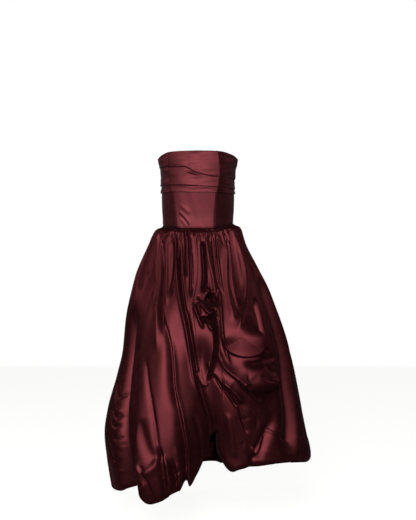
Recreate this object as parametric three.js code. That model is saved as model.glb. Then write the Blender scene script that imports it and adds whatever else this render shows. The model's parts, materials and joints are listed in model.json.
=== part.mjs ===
// A strapless evening gown in heavy satin: a boned bodice of seven panels with a tucked band across
// the bust, and a full skirt of four gores, pleated into the waist seam, caught up at the left front
// and turned under at the hem. Millimetres, +Z up, the front faces -Y. The origin is the centre of
// the waist seam, where the wearer's waist holds the gown. Left and right are the wearer's.
import * as THREE from "three";

// ---------------------------------------------------------------- driving sizes
const skirtWall = 2; // satin with its backing
const bodiceWall = 2.5; // satin over a boned underlayer
const seamGap = 0.3; // between the pieces of every seam
const boned = 0.45; // how far a bodice panel is pulled flat between its seams
const hemRoll = 24; // radius of the soft fold at the hem
const turnUp = 58; // how far the hem goes back up inside
const skirtColumns = { front: 32, back: 19 };
const pitch = { front: 15, back: 30, down: 32 }; // narrowest flank of a fold, at the skirt's full girth

const satin = { color: 0x6e2a33, roughness: 0.38, metalness: 0.15 };

// Angles are in degrees round the body: 0 at the front, 90 on the wearer's left, 180 at the back.
const centreBack = 180;
const sideSeam = 88;

// Bodice sections, by height above the waist seam.
const bodiceSections = [
  { height: 0, side: 125.5, front: 94, back: 92, square: 2.5 },
  { height: 31, side: 125.5, front: 95, back: 91, square: 2.5 },
  { height: 73, side: 128, front: 99, back: 92, square: 2.5 },
  { height: 116, side: 129, front: 105, back: 95, square: 2.5 },
  { height: 162, side: 127.5, front: 113, back: 99, square: 2.5 },
  { height: 204, side: 131, front: 115, back: 102, square: 2.5 },
  { height: 247, side: 140, front: 113, back: 106, square: 2.4 },
  { height: 270, side: 142, front: 109, back: 108, square: 2.4 },
];

// Where the bodice's seams stand at each height.
const bodiceSeams = [
  { height: 0, rightFront: -42, leftFront: 33, back: 148 },
  { height: 110, rightFront: -45, leftFront: 33, back: 145 },
  { height: 190, rightFront: -48, leftFront: 36, back: 143 },
  { height: 270, rightFront: -48, leftFront: 34, back: 141 },
];

// Height of the bodice's top edge, by angle from the front on either side.
const topEdge = [
  { angle: 0, height: 268 },
  { angle: 40, height: 266 },
  { angle: 65, height: 258 },
  { angle: 90, height: 247 },
  { angle: 140, height: 236 },
  { angle: 180, height: 234 },
];

// The waist seam dips at the front and rides up over the hips.
const waistSeam = [
  { angle: -180, height: 18 },
  { angle: -90, height: 15 },
  { angle: -60, height: 8 },
  { angle: -32, height: 0 },
  { angle: 28, height: 0 },
  { angle: 60, height: 13 },
  { angle: 90, height: 24 },
  { angle: 180, height: 18 },
];
const waistFade = 150; // drop at which the skirt no longer follows that line

// Skirt sections, by drop below the waist seam: the reach to each side, and how square the outline is.
const skirtSections = [
  { drop: 0, left: 136, right: 130, front: 98, back: 99, square: 2.35 },
  { drop: 25, left: 154, right: 158, front: 113, back: 121, square: 2.3 },
  { drop: 60, left: 167, right: 176, front: 128, back: 149, square: 2.2 },
  { drop: 170, left: 232, right: 226, front: 168, back: 218, square: 2.1 },
  { drop: 290, left: 280, right: 256, front: 212, back: 284, square: 2 },
  { drop: 420, left: 320, right: 266, front: 250, back: 338, square: 2 },
  { drop: 510, left: 343, right: 287, front: 272, back: 368, square: 2 },
  { drop: 630, left: 371, right: 319, front: 298, back: 398, square: 2 },
  { drop: 710, left: 385, right: 329, front: 312, back: 412, square: 2 },
  { drop: 790, left: 400, right: 320, front: 318, back: 420, square: 2 },
  { drop: 860, left: 390, right: 308, front: 312, back: 418, square: 2 },
  { drop: 940, left: 380, right: 292, front: 296, back: 404, square: 2 },
];

// How low the hem hangs, by angle. It is hitched up to a peak at the centre front seam.
const hemLine = [
  { angle: -180, drop: 906 },
  { angle: -130, drop: 912 },
  { angle: -95, drop: 918 },
  { angle: -75, drop: 906 },
  { angle: -60, drop: 880 },
  { angle: -50, drop: 856 },
  { angle: -38, drop: 830 },
  { angle: -34.5, drop: 876 },
  { angle: -29, drop: 898 },
  { angle: -21.8, drop: 886 },
  { angle: -16, drop: 864 },
  { angle: -10, drop: 850 },
  { angle: -0.9, drop: 818 },
  { angle: 6.3, drop: 768 },
  { angle: 10.4, drop: 724 },
  { angle: 15, drop: 676 },
  { angle: 16.2, drop: 752 },
  { angle: 21.6, drop: 784 },
  { angle: 26, drop: 777 },
  { angle: 49, drop: 781 },
  { angle: 63.5, drop: 790 },
  { angle: 85, drop: 816 },
  { angle: 110, drop: 852 },
  { angle: 140, drop: 890 },
  { angle: 180, drop: 906 },
];

// The centre front seam wanders as the left gore is caught up beside it.
const frontSeam = [
  { drop: 0, angle: -5 },
  { drop: 120, angle: 0 },
  { drop: 184, angle: -1.6 },
  { drop: 250, angle: -5 },
  { drop: 360, angle: -1 },
  { drop: 482, angle: 2.7 },
  { drop: 584, angle: 9.2 },
  { drop: 671, angle: 15 },
  { drop: 950, angle: 15 },
];

// Broad swells and hollows of the skirt: how far out, centred where, reaching how far round and down.
const swells = [
  { out: -62, angle: 5, drop: 800, round: 17, down: 170 },
  { out: -30, angle: 30, drop: 770, round: 15, down: 110 },
  { out: 16, angle: 34, drop: 330, round: 12, down: 70 },
  { out: 22, angle: 38, drop: 480, round: 15, down: 56 },
  { out: 12, angle: -28, drop: 420, round: 13, down: 230 },
  { out: 14, angle: -28, drop: 820, round: 9, down: 90 },
  { out: -26, angle: 14, drop: 236, round: 5.5, down: 24 },
  { out: 14, angle: 8, drop: 400, round: 6, down: 70 },
  { out: 10, angle: 60, drop: 640, round: 12, down: 90 },
];

// Folds: how far out (or in, if negative), how far each flank reaches, and the line from top to bottom
// or, in a swag, from left to right, with its upper side as the right flank. Points are [angle, drop].
const folds = [
  // the right front, from the side towards the centre seam
  { out: -44, left: 26, right: 12, line: [[-53, 130], [-49, 240], [-48.5, 345], [-48.5, 480], [-43, 620], [-39, 760], [-38, 990]] },
  { out: 6, left: 24, right: 20, line: [[-56, 200], [-53, 330], [-59, 430], [-60, 520], [-56, 640], [-52, 800]] },
  { out: -9, left: 14, right: 9, line: [[-45, 400], [-36, 510], [-29, 580], [-24.5, 644], [-20.5, 735]] },
  { out: -20, left: 14, right: 9, line: [[-22.5, 690], [-19.5, 760], [-18, 860], [-18, 990]] },
  { out: 9, left: 8, right: 9, line: [[-20.5, 700], [-16.5, 780], [-15, 860], [-15, 960]] },
  { out: -12, left: 17, right: 7, line: [[-57, 12], [-41, 178], [-30, 292], [-22.5, 374], [-19, 434], [-15.5, 516], [-11, 605], [-8.2, 716], [-7.4, 820], [-7.4, 990]] },
  { out: 11, left: 7, right: 30, line: [[-17, 440], [-12.6, 560], [-9, 640], [-6.3, 740], [-5, 850], [-5, 990]] },
  { out: 9, left: 9, right: 8, line: [[-41, 8], [-26, 144], [-15.7, 250], [-9.6, 332], [-5.6, 414], [-1.6, 494], [3, 560]] },
  { out: -14, left: 10, right: 9, line: [[-33, 8], [-21, 150], [-11.5, 262], [-6.2, 340], [-2.6, 414], [1.4, 500], [6.5, 580], [11, 660], [13, 760]] },
  { out: -8, left: 8, right: 7, line: [[-62, 8], [-50, 110], [-38, 200], [-31, 300], [-27, 380]] },
  { out: -7, left: 8, right: 7, line: [[-48, 6], [-36, 120], [-27, 230], [-21, 330]] },
  { out: -7, left: 7, right: 7, line: [[-20, 6], [-13, 70], [-9, 150], [-8, 230]] },
  { out: -6, left: 7, right: 7, line: [[-76, 6], [-69, 90], [-65, 220]] },
  // the left front above the pick-up
  { out: -22, left: 9, right: 9, line: [[7, 20], [9, 90], [10, 150], [11, 220], [11, 262]] },
  { out: 13, left: 8, right: 9, line: [[14, 10], [16, 100], [18, 164], [17.5, 226]] },
  { out: -9, left: 8, right: 6, line: [[26, 6], [23, 80], [22.5, 150], [22, 215]] },
  { out: -10, left: 9, right: 8, line: [[44, 6], [32, 114], [25.5, 207], [23.5, 300]] },
  { out: 8, left: 14, right: 14, line: [[50, 30], [39, 140], [32, 230], [28, 320]] },
  { out: -12, left: 9, right: 8, line: [[60, 6], [55, 100], [47, 192], [40, 262]] },
  { out: 12, left: 8, right: 16, line: [[72, 20], [63.5, 114], [54, 199], [44, 250], [34, 300], [29.5, 345]] },
  { out: -8, left: 8, right: 8, line: [[78, 6], [72, 100], [67, 190]] },
  // the folds that run out of the pick-up
  { out: 9, left: 7, right: 8, line: [[23, 236], [20.6, 275], [19.4, 353], [21.4, 415], [22.4, 450]] },
  { out: -22, left: 10, right: 9, line: [[11, 240], [13, 300], [14.4, 350], [14, 392], [10.5, 450], [7.4, 500]] },
  { out: 10, left: 5, right: 6, line: [[-3, 210], [-4, 262], [-1.5, 300], [4, 322]] },
  { out: 11, left: 5, right: 8, line: [[4, 262], [5.8, 300], [9, 334], [13, 338]] },
  { out: 15, left: 5, right: 40, line: [[-0.6, 440], [2.6, 482], [4, 504], [7.4, 514], [12, 506], [13, 480]] },
  { out: 14, left: 6, right: 22, line: [[14.6, 380], [18, 446], [22.9, 478], [29.8, 508], [33, 500]] },
  { out: 9, left: 6, right: 12, line: [[8.4, 440], [13.7, 487], [20.3, 518], [27, 553], [30, 580]] },
  { out: 9, left: 6, right: 10, line: [[28.6, 512], [35.3, 545], [42.5, 574], [45, 570]] },
  // swags and creases of the left front
  { out: 24, left: 7, right: 40, line: [[22, 350], [25.4, 390], [33.7, 420], [42.5, 406], [47, 380]] },
  { out: -10, left: 6, right: 7, line: [[56, 230], [52.6, 316], [51, 378], [45.5, 415], [38, 436]] },
  { out: 20, left: 7, right: 46, line: [[26.5, 486], [34.5, 530], [44, 543], [53, 546], [59, 530]] },
  { out: -9, left: 7, right: 12, line: [[27, 560], [30.7, 620], [34.5, 680]] },
  { out: -20, left: 12, right: 10, line: [[54, 560], [48, 640], [42, 700], [38, 746], [36, 790]] },
  { out: -7, left: 6, right: 8, line: [[46, 655], [52, 684], [60, 708], [64, 725]] },
  { out: -22, left: 20, right: 12, line: [[70, 150], [64, 280], [60, 400], [58, 520], [58, 620]] },
  { out: 13, left: 14, right: 12, line: [[76, 120], [75, 221], [70.5, 364], [68.4, 497], [67.2, 607], [66, 712], [64, 790]] },
  { out: -14, left: 10, right: 16, line: [[86, 140], [83, 260], [79, 400], [77, 520], [76, 640], [76, 740]] },
];

// The back hangs plainly in soft organ pipes: the angle of each valley at the waist and at the hem,
// how deep it is, and how low it starts.
const backPipes = [
  { top: 97, foot: 101, deep: 30, from: 90 },
  { top: 113, foot: 124, deep: 36, from: 20 },
  { top: 136, foot: 146, deep: 30, from: 120 },
  { top: 157, foot: 166, deep: 40, from: 10 },
  { top: 181, foot: 184, deep: 28, from: 60 },
  { top: 201, foot: 203, deep: 42, from: 20 },
  { top: 222, foot: 226, deep: 30, from: 130 },
  { top: 246, foot: 247, deep: 38, from: 10 },
  { top: 262, foot: 265, deep: 26, from: 160 },
];
for (const { top, foot, deep, from } of backPipes) {
  const middle = (top + foot) / 2;
  folds.push({ out: -deep, left: 36, right: 28, line: [[top, from], [middle, 420], [foot, 1100]] });
}

// Small pressed pleats of the back waist, between the pipes.
const backPleats = { first: 92, last: 276, step: 11.5, deep: 8, reach: 8, longest: 330, shortest: 170 };
for (let k = 0, at = backPleats.first; at <= backPleats.last; k++, at += backPleats.step) {
  const length = k % 2 ? backPleats.shortest : backPleats.longest;
  const swing = 2 * Math.sin(1.7 * k);
  folds.push({
    out: -backPleats.deep, left: backPleats.reach, right: backPleats.reach,
    line: [[at, 4], [at + swing, length / 2], [at + 2 * swing, length]],
  });
}

// The tucked band: the height of each tuck's edge by angle, and how far the cloth stands off the bodice.
const tuckEdges = [
  { angle: -sideSeam, upper: 216, middle: 152, lower: 127 },
  { angle: -48, upper: 214, middle: 150, lower: 127 },
  { angle: -5, upper: 201, middle: 147, lower: 126 },
  { angle: 36, upper: 178, middle: 143, lower: 125 },
  { angle: sideSeam, upper: 176, middle: 142, lower: 125 },
];
const tuckStep = 3; // height over which a tuck drops back to the layer below
const bandThin = 1.6;
const bandGap = 0.5;
const bandThick = { upper: 4.6, middle: 5, lower: 3.6 };

// The concealed zip at the centre back: its slider lies on the seam near the top and carries a pull tab.
const zip = { tapeWide: 20, tapeThick: 0.9, tapeTop: 222, tapeFoot: 24, sliderHeight: 214 };
const slider = {
  wide: 4.6, tall: 9, deep: 1.7, bevel: 0.5,
  bridgeOut: 5, bridgeTop: 3.4, bridgeFoot: -2, axleOut: 3.1, axleUp: 0.5, eye: 1.15,
};
const tab = { long: 25, wideTop: 8, wideFoot: 9.5, thick: 1.1, bar: 1.1, windowWide: 5.6, windowTall: 5 };
const metal = { color: 0x5a2a31, roughness: 0.42, metalness: 0.6 };

// ---------------------------------------------------------------- working functions
const radians = THREE.MathUtils.degToRad;
const { clamp, lerp, smoothstep } = THREE.MathUtils;

// The value of a table's column at x, along a monotone cubic through its rows.
function read(table, key, column, x) {
  const at = clamp(x, table[0][key], table[table.length - 1][key]);
  let i = 0;
  while (i < table.length - 2 && at > table[i + 1][key]) i++;
  const width = (k) => table[k + 1][key] - table[k][key];
  const slope = (k) => (table[k + 1][column] - table[k][column]) / width(k);
  const tangent = (k) => {
    if (k === 0) return slope(0);
    if (k === table.length - 1) return slope(k - 1);
    const before = slope(k - 1);
    const after = slope(k);
    if (before * after <= 0) return 0;
    return (width(k - 1) + width(k)) / (width(k - 1) / after + width(k) / before);
  };
  const h = width(i);
  const t = (at - table[i][key]) / h;
  return (
    (1 + 2 * t) * (1 - t) ** 2 * table[i][column] + t * (1 - t) ** 2 * h * tangent(i) +
    t * t * (3 - 2 * t) * table[i + 1][column] + t * t * (t - 1) * h * tangent(i + 1)
  );
}

const wrap = (angle) => ((((angle + 180) % 360) + 360) % 360) - 180;

// Radius of a squared ellipse with its own reach on each side.
function outline(angle, left, right, front, back, square) {
  const across = Math.sin(radians(angle));
  const ahead = Math.cos(radians(angle));
  const side = Math.abs(across / (across >= 0 ? left : right)) ** square;
  const depth = Math.abs(ahead / (ahead >= 0 ? front : back)) ** square;
  return (side + depth) ** (-1 / square);
}

const around = (angle, radius, z) =>
  new THREE.Vector3(radius * Math.sin(radians(angle)), -radius * Math.cos(radians(angle)), z);

function bodiceSeamAngles(height) {
  const at = (column) => read(bodiceSeams, "height", column, height);
  const back = at("back");
  return [-180, -back, -sideSeam, at("rightFront"), at("leftFront"), sideSeam, back, 180];
}

function bodiceOval(angle, height) {
  const at = (column) => read(bodiceSections, "height", column, height);
  return outline(angle, at("side"), at("side"), at("front"), at("back"), at("square"));
}

// The bodice's outer radius: an oval, pulled flat between seams by the bones along them.
function bodiceRadius(angle, height) {
  const at = wrap(angle);
  const oval = bodiceOval(at, height);
  const seams = bodiceSeamAngles(height);
  const k = clamp(seams.findIndex((seam) => seam > at), 1, seams.length - 1);
  const [low, high] = [seams[k - 1], seams[k]];
  const [a, b] = [bodiceOval(low, height), bodiceOval(high, height)];
  const chord = (a * b * Math.sin(radians(high - low))) /
    (a * Math.sin(radians(at - low)) + b * Math.sin(radians(high - at)));
  return lerp(oval, chord, boned);
}

function skirtOval(angle, drop) {
  const at = (column) => read(skirtSections, "drop", column, drop);
  const own = outline(angle, at("left"), at("right"), at("front"), at("back"), at("square"));
  return lerp(bodiceRadius(angle, 0), own, smoothstep(drop, 0, 12));
}

// Mean radius at each drop, which turns an angle into a distance round the skirt.
const girths = skirtSections.map(({ drop, left, right, front, back }) => ({
  drop, radius: (left + right + front + back) / 4,
}));
const roundAt = (angle, drop) => radians(angle) * read(girths, "drop", "radius", drop);

// Each fold's line, smoothed and laid out as distances round and down.
const stepsPerPoint = 5;
for (const fold of folds) {
  const points = fold.line.map(([angle, drop]) => new THREE.Vector3(angle, drop, 0));
  const curve = new THREE.CatmullRomCurve3(points, false, "catmullrom", 0.5);
  fold.path = curve.getPoints(stepsPerPoint * (points.length - 1)).map((p) => [roundAt(p.x, p.y), p.y]);
}

function nearestOn(path, round, drop) {
  let best = { far: Infinity };
  for (let i = 0; i + 1 < path.length; i++) {
    const [fromRound, fromDrop] = path[i];
    const goRound = path[i + 1][0] - fromRound;
    const goDrop = path[i + 1][1] - fromDrop;
    const offRound = round - fromRound;
    const offDrop = drop - fromDrop;
    const t = clamp((offRound * goRound + offDrop * goDrop) / (goRound ** 2 + goDrop ** 2), 0, 1);
    const missRound = offRound - t * goRound;
    const missDrop = offDrop - t * goDrop;
    const far = Math.hypot(missRound, missDrop);
    if (far >= best.far) continue;
    const side = Math.sign(missRound * goDrop - missDrop * goRound);
    const slope = Math.abs(goRound) / Math.hypot(goRound, goDrop);
    best = { far, side, slope, along: (i + t) / (path.length - 1) };
  }
  return best;
}

const endFade = 0.16; // share of a fold's line over which it rises and dies away
const flankReach = 3; // a flank has vanished at this many times its width

// How far the folds and swells move the skirt out from its plain section.
function relief(angle, drop) {
  const at = wrap(angle);
  let out = 0;
  for (const swell of swells) {
    const round = wrap(at - swell.angle) / swell.round;
    const down = (drop - swell.drop) / swell.down;
    out += swell.out * Math.exp(-round * round - down * down);
  }
  const roundPitch = lerp(pitch.front, pitch.back, smoothstep(Math.abs(at), 70, 105));
  for (const fold of folds) {
    for (const turn of [at, at + 360]) {
      const round = roundAt(turn, drop);
      const reach = flankReach * Math.max(fold.left, fold.right);
      if (fold.path.every(([r]) => Math.abs(r - round) > reach + 40)) continue;
      const { far, side, along, slope } = nearestOn(fold.path, round, drop);
      const least = lerp(roundPitch * Math.min(1, drop / 600 + 0.3), pitch.down, slope);
      const width = Math.max(least, side < 0 ? fold.left : fold.right);
      const fade = smoothstep(along, 0, endFade) * smoothstep(1 - along, 0, endFade);
      out += fold.out * fade * Math.exp(-((far / width) ** 2));
    }
  }
  return out * smoothstep(drop, 0, 14);
}

const skirtRadius = (angle, drop) => skirtOval(angle, drop) + relief(angle, drop);

const waistHeight = (angle) => read(waistSeam, "angle", "height", wrap(angle));

// A point of the skirt's outer face. The run is 0 at the waist, 1 where the hem starts to roll under,
// 2 where it has turned right round, and 3 at its raw edge inside.
function skirtPoint(angle, run) {
  const rollStart = read(hemLine, "angle", "drop", wrap(angle)) - hemRoll;
  if (run <= 1) {
    const drop = run * rollStart;
    const lift = waistHeight(angle) * Math.max(0, 1 - drop / waistFade);
    return around(angle, skirtRadius(angle, drop), lift - drop);
  }
  const base = skirtRadius(angle, rollStart);
  if (run <= 2) {
    const turn = Math.PI * (run - 1);
    const inset = hemRoll * (1 - Math.cos(turn));
    return around(angle, base - inset, -rollStart - hemRoll * Math.sin(turn));
  }
  const drop = rollStart - (run - 2) * turnUp;
  return around(angle, skirtRadius(angle, drop) - 2 * hemRoll, -drop);
}

// The outward normal of a surface given as a function of angle and run.
function normalOf(surface, angle, run) {
  const dAngle = 1.6;
  const dRun = 0.018;
  const round = surface(angle + dAngle, run).sub(surface(angle - dAngle, run));
  const down = surface(angle, run + dRun).sub(surface(angle, Math.max(0, run - dRun)));
  return down.cross(round).normalize();
}

// A closed wall between an outer and an inner grid of points, columns to the wearer's left, rows down.
function wall(outer, inner, closed = false) {
  const columns = outer.length;
  const rows = outer[0].length;
  const positions = [...outer.flat(), ...inner.flat()].flatMap((p) => [p.x, p.y, p.z]);
  const o = (i, j) => (i % columns) * rows + j;
  const q = (i, j) => columns * rows + o(i, j);
  const faces = [];
  const quad = (a, b, c, d) => faces.push(a, b, c, a, c, d);
  const spans = closed ? columns : columns - 1;
  for (let i = 0; i < spans; i++) {
    for (let j = 0; j + 1 < rows; j++) {
      quad(o(i, j), o(i, j + 1), o(i + 1, j + 1), o(i + 1, j));
      quad(q(i, j), q(i + 1, j), q(i + 1, j + 1), q(i, j + 1));
    }
    quad(o(i, 0), o(i + 1, 0), q(i + 1, 0), q(i, 0));
    quad(o(i, rows - 1), q(i, rows - 1), q(i + 1, rows - 1), o(i + 1, rows - 1));
  }
  for (let j = 0; !closed && j + 1 < rows; j++) {
    const n = columns - 1;
    quad(o(0, j), q(0, j), q(0, j + 1), o(0, j + 1));
    quad(o(n, j), o(n, j + 1), q(n, j + 1), q(n, j));
  }
  const geometry = new THREE.BufferGeometry();
  geometry.setAttribute("position", new THREE.Float32BufferAttribute(positions, 3));
  geometry.setIndex(faces);
  geometry.computeVertexNormals();
  return geometry;
}

const gown = new THREE.Group();

function add(name, geometry, look, parent = gown) {
  const mesh = new THREE.Mesh(geometry, new THREE.MeshStandardMaterial(look));
  mesh.name = name;
  parent.add(mesh);
  return mesh;
}

const steps = (count) => Array.from({ length: count + 1 }, (_, i) => i / count);

// ---------------------------------------------------------------- skirt gores
// Rows are close under the waist, where the pleats open, and round the hem's roll.
const skirtRuns = [0, 0.014, 0.036, 0.064, 0.096];
for (let run = 0.14; run < 0.99; run += 0.043) skirtRuns.push(run);
skirtRuns.push(1, 1.33, 1.67, 2, 3);

function gore(name, fromAngle, toAngle, columns) {
  const outer = [];
  const inner = [];
  for (const share of steps(columns)) {
    const outerColumn = [];
    const innerColumn = [];
    for (const run of skirtRuns) {
      const drop = Math.min(run, 1) * frontSeam[frontSeam.length - 2].drop;
      const [from, to] = [fromAngle(drop), toAngle(drop)];
      const halfGap = THREE.MathUtils.radToDeg(seamGap / 2 / skirtOval(from, drop));
      const angle = lerp(from + halfGap, to - halfGap, share);
      const point = skirtPoint(angle, run);
      point.z -= run === 0 ? seamGap : 0;
      const normal = normalOf(skirtPoint, angle, run);
      outerColumn.push(point);
      innerColumn.push(point.clone().addScaledVector(normal, -skirtWall));
    }
    outer.push(outerColumn);
    inner.push(innerColumn);
  }
  add(name, wall(outer, inner), satin);
}

const straight = (angle) => () => angle;
const alongFrontSeam = (drop) => read(frontSeam, "drop", "angle", drop);

gore("skirt_front_right", straight(-sideSeam), alongFrontSeam, skirtColumns.front);
gore("skirt_front_left", alongFrontSeam, straight(sideSeam), skirtColumns.front);
gore("skirt_back_left", straight(sideSeam), straight(centreBack), skirtColumns.back);
gore("skirt_back_right", straight(centreBack), straight(360 - sideSeam), skirtColumns.back);

// ---------------------------------------------------------------- bodice panels
const topHeight = (angle) => read(topEdge, "angle", "height", Math.abs(wrap(angle)));
const tuckHeight = (column, angle) => read(tuckEdges, "angle", column, wrap(angle));

// Heights of a panel's rows from the top edge down; the upper ones follow the band's tucks.
function bodiceRowHeights(angle) {
  const top = topHeight(angle);
  const [upper, middle, lower] = ["upper", "middle", "lower"].map((edge) => tuckHeight(edge, angle));
  const waist = waistHeight(angle);
  return [
    top, lerp(top, upper, 0.55), upper, lerp(upper, middle, 0.6), middle, lower,
    lerp(lower, waist, 0.35), lerp(lower, waist, 0.7), waist,
  ];
}

function outwards(angle, height) {
  const round = around(angle + 0.7, bodiceRadius(angle + 0.7, height), 0)
    .sub(around(angle - 0.7, bodiceRadius(angle - 0.7, height), 0));
  return new THREE.Vector3(round.y, -round.x, 0).normalize();
}

function bodicePanel(name, seam, columns) {
  const outer = [];
  const inner = [];
  const seamAngle = (side, height) => bodiceSeamAngles(height)[seam + side];
  const halfGap = THREE.MathUtils.radToDeg(seamGap / 2 / bodiceOval(seamAngle(0, 0), 0));
  for (const across of steps(columns)) {
    const angleAt = (height) => lerp(seamAngle(0, height) + halfGap, seamAngle(1, height) - halfGap, across);
    const outerColumn = [];
    const innerColumn = [];
    for (const height of bodiceRowHeights(angleAt(190))) {
      const angle = angleAt(height);
      const point = around(angle, bodiceRadius(angle, height), height);
      outerColumn.push(point);
      innerColumn.push(point.clone().addScaledVector(outwards(angle, height), -bodiceWall));
    }
    outer.push(outerColumn);
    inner.push(innerColumn);
  }
  add(name, wall(outer, inner), satin);
  return outer;
}

const bodicePanels = [
  { name: "bodice_back_right", columns: 5 },
  { name: "bodice_side_back_right", columns: 6 },
  { name: "bodice_side_front_right", columns: 6 },
  { name: "bodice_centre_front", columns: 10 },
  { name: "bodice_side_front_left", columns: 6 },
  { name: "bodice_side_back_left", columns: 6 },
  { name: "bodice_back_left", columns: 5 },
];
const panelGrids = bodicePanels.map(({ name, columns }, seam) => bodicePanel(name, seam, columns));

// ---------------------------------------------------------------- the tucked band across the bust
// The band lies on the three front panels, so its columns are theirs, moved out. Each row stands at a
// height between two tuck edges, with the thickness of the cloth there.
function bandRows(angle, top) {
  const [upper, middle, lower] = ["upper", "middle", "lower"].map((edge) => tuckHeight(edge, angle));
  return [
    [top, bandThin],
    [lerp(top, upper, 0.55), lerp(bandThin, bandThick.upper, 0.4)],
    [upper + tuckStep, bandThick.upper],
    [upper, bandThick.upper - 0.6],
    [upper - tuckStep, bandThin],
    [lerp(upper, middle, 0.6), lerp(bandThin, bandThick.middle, 0.45)],
    [middle + tuckStep, bandThick.middle],
    [middle, bandThick.middle - 0.6],
    [middle - tuckStep, bandThin + 0.6],
    [lower + tuckStep, bandThick.lower],
    [lower, bandThick.lower - 1],
  ];
}

// The point at a height on a column of panel points that runs from the top edge down.
function onColumn(column, height) {
  let k = 1;
  while (k < column.length - 1 && column[k].z > height) k++;
  const share = clamp((column[k - 1].z - height) / (column[k - 1].z - column[k].z), 0, 1);
  return column[k - 1].clone().lerp(column[k], share);
}

function tuckedBand() {
  const join = (before, after) => before.map((point, k) => point.clone().lerp(after[k], 0.5));
  const [right, centre, left] = panelGrids.slice(2, 5);
  const columns = [
    ...right.slice(0, -1), join(right[right.length - 1], centre[0]),
    ...centre.slice(1, -1), join(centre[centre.length - 1], left[0]), ...left.slice(1),
  ];
  const outer = [];
  const inner = [];
  for (const column of columns) {
    const middle = onColumn(column, 190);
    const angle = THREE.MathUtils.radToDeg(Math.atan2(middle.x, -middle.y));
    const rows = bandRows(angle, column[0].z).map(([height, thick]) => {
      const face = onColumn(column, height);
      const turn = THREE.MathUtils.radToDeg(Math.atan2(face.x, -face.y));
      const out = outwards(turn, height);
      const under = face.addScaledVector(out, bandGap);
      return { under, over: under.clone().addScaledVector(out, thick) };
    });
    outer.push(rows.map((row) => row.over));
    inner.push(rows.map((row) => row.under));
  }
  add("bust_tuck_band", wall(outer, inner), satin);
}
tuckedBand();

// ---------------------------------------------------------------- the centre back zip
// The seam's outer face at a height, and a distance to one side of it.
function backFace(height, aside = 0) {
  const panel = panelGrids[0];
  const seam = onColumn(panel[0], height);
  const edge = onColumn(panel[panel.length - 1], height);
  return lerp(seam.y, edge.y, Math.abs(aside / (edge.x - seam.x)));
}

// The tape backs the seam inside the bodice.
function zipTape() {
  const half = zip.tapeWide / 2;
  const heights = steps(5).map((share) => lerp(zip.tapeTop, zip.tapeFoot, share));
  const face = (aside, inset) => heights.map((height) =>
    new THREE.Vector3(aside, backFace(height, aside) - bodiceWall - 2 * seamGap - inset, height));
  const across = [half, 0, -half];
  add("zip_tape", wall(across.map((x) => face(x, 0)), across.map((x) => face(x, zip.tapeThick))), satin);
}
zipTape();

const zipHead = new THREE.Group();
zipHead.position.set(0, backFace(zip.sliderHeight) + 0.6, zip.sliderHeight);
gown.add(zipHead);

// The slider is a side profile with an eye through its bridge, as wide as the coil it closes.
function zipSlider() {
  const { wide, tall, deep, bevel, bridgeOut, bridgeTop, bridgeFoot } = slider;
  const half = tall / 2;
  const profile = new THREE.Shape();
  profile.moveTo(0, -half);
  profile.lineTo(deep - bevel, -half);
  profile.lineTo(deep, bevel - half);
  profile.lineTo(deep, bridgeFoot);
  profile.quadraticCurveTo(bridgeOut, bridgeFoot, bridgeOut, slider.axleUp);
  profile.quadraticCurveTo(bridgeOut, bridgeTop, deep, bridgeTop);
  profile.lineTo(deep, half - bevel);
  profile.lineTo(deep - bevel, half);
  profile.lineTo(0, half);
  profile.closePath();
  const eye = new THREE.Path();
  eye.absarc(slider.axleOut, slider.axleUp, slider.eye, 0, 2 * Math.PI, true);
  profile.holes.push(eye);
  const body = new THREE.ExtrudeGeometry(profile, { depth: wide, bevelEnabled: false, curveSegments: 6 });
  body.translate(0, 0, -wide / 2);
  const outUpAcross = new THREE.Matrix4().makeBasis(
    new THREE.Vector3(0, 1, 0), new THREE.Vector3(0, 0, 1), new THREE.Vector3(1, 0, 0));
  add("zip_slider", body.applyMatrix4(outUpAcross), metal, zipHead);
}
zipSlider();

// The pull tab hangs from a bar that runs through the slider's eye.
function zipTab() {
  const { long, wideTop, wideFoot, thick, bar, windowWide, windowTall } = tab;
  const plate = new THREE.Shape();
  plate.moveTo(-wideTop / 2, bar / 2);
  plate.lineTo(-wideTop / 2, -windowTall - bar);
  plate.lineTo(-wideFoot / 2, wideFoot / 2 - long);
  plate.absarc(0, wideFoot / 2 - long, wideFoot / 2, Math.PI, 2 * Math.PI, false);
  plate.lineTo(wideTop / 2, -windowTall - bar);
  plate.lineTo(wideTop / 2, bar / 2);
  plate.closePath();
  const opening = new THREE.Path();
  opening.moveTo(-windowWide / 2, -bar / 2);
  opening.lineTo(windowWide / 2, -bar / 2);
  opening.lineTo(windowWide / 2, -bar / 2 - windowTall);
  opening.lineTo(-windowWide / 2, -bar / 2 - windowTall);
  opening.closePath();
  plate.holes.push(opening);
  const body = new THREE.ExtrudeGeometry(plate, { depth: thick, bevelEnabled: false, curveSegments: 8 });
  body.translate(0, 0, -thick / 2);
  body.rotateX(Math.PI / 2);
  add("zip_tab", body, metal, zipHead).position.set(0, slider.axleOut, slider.axleUp);
}
zipTab();

export default gown;
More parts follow.
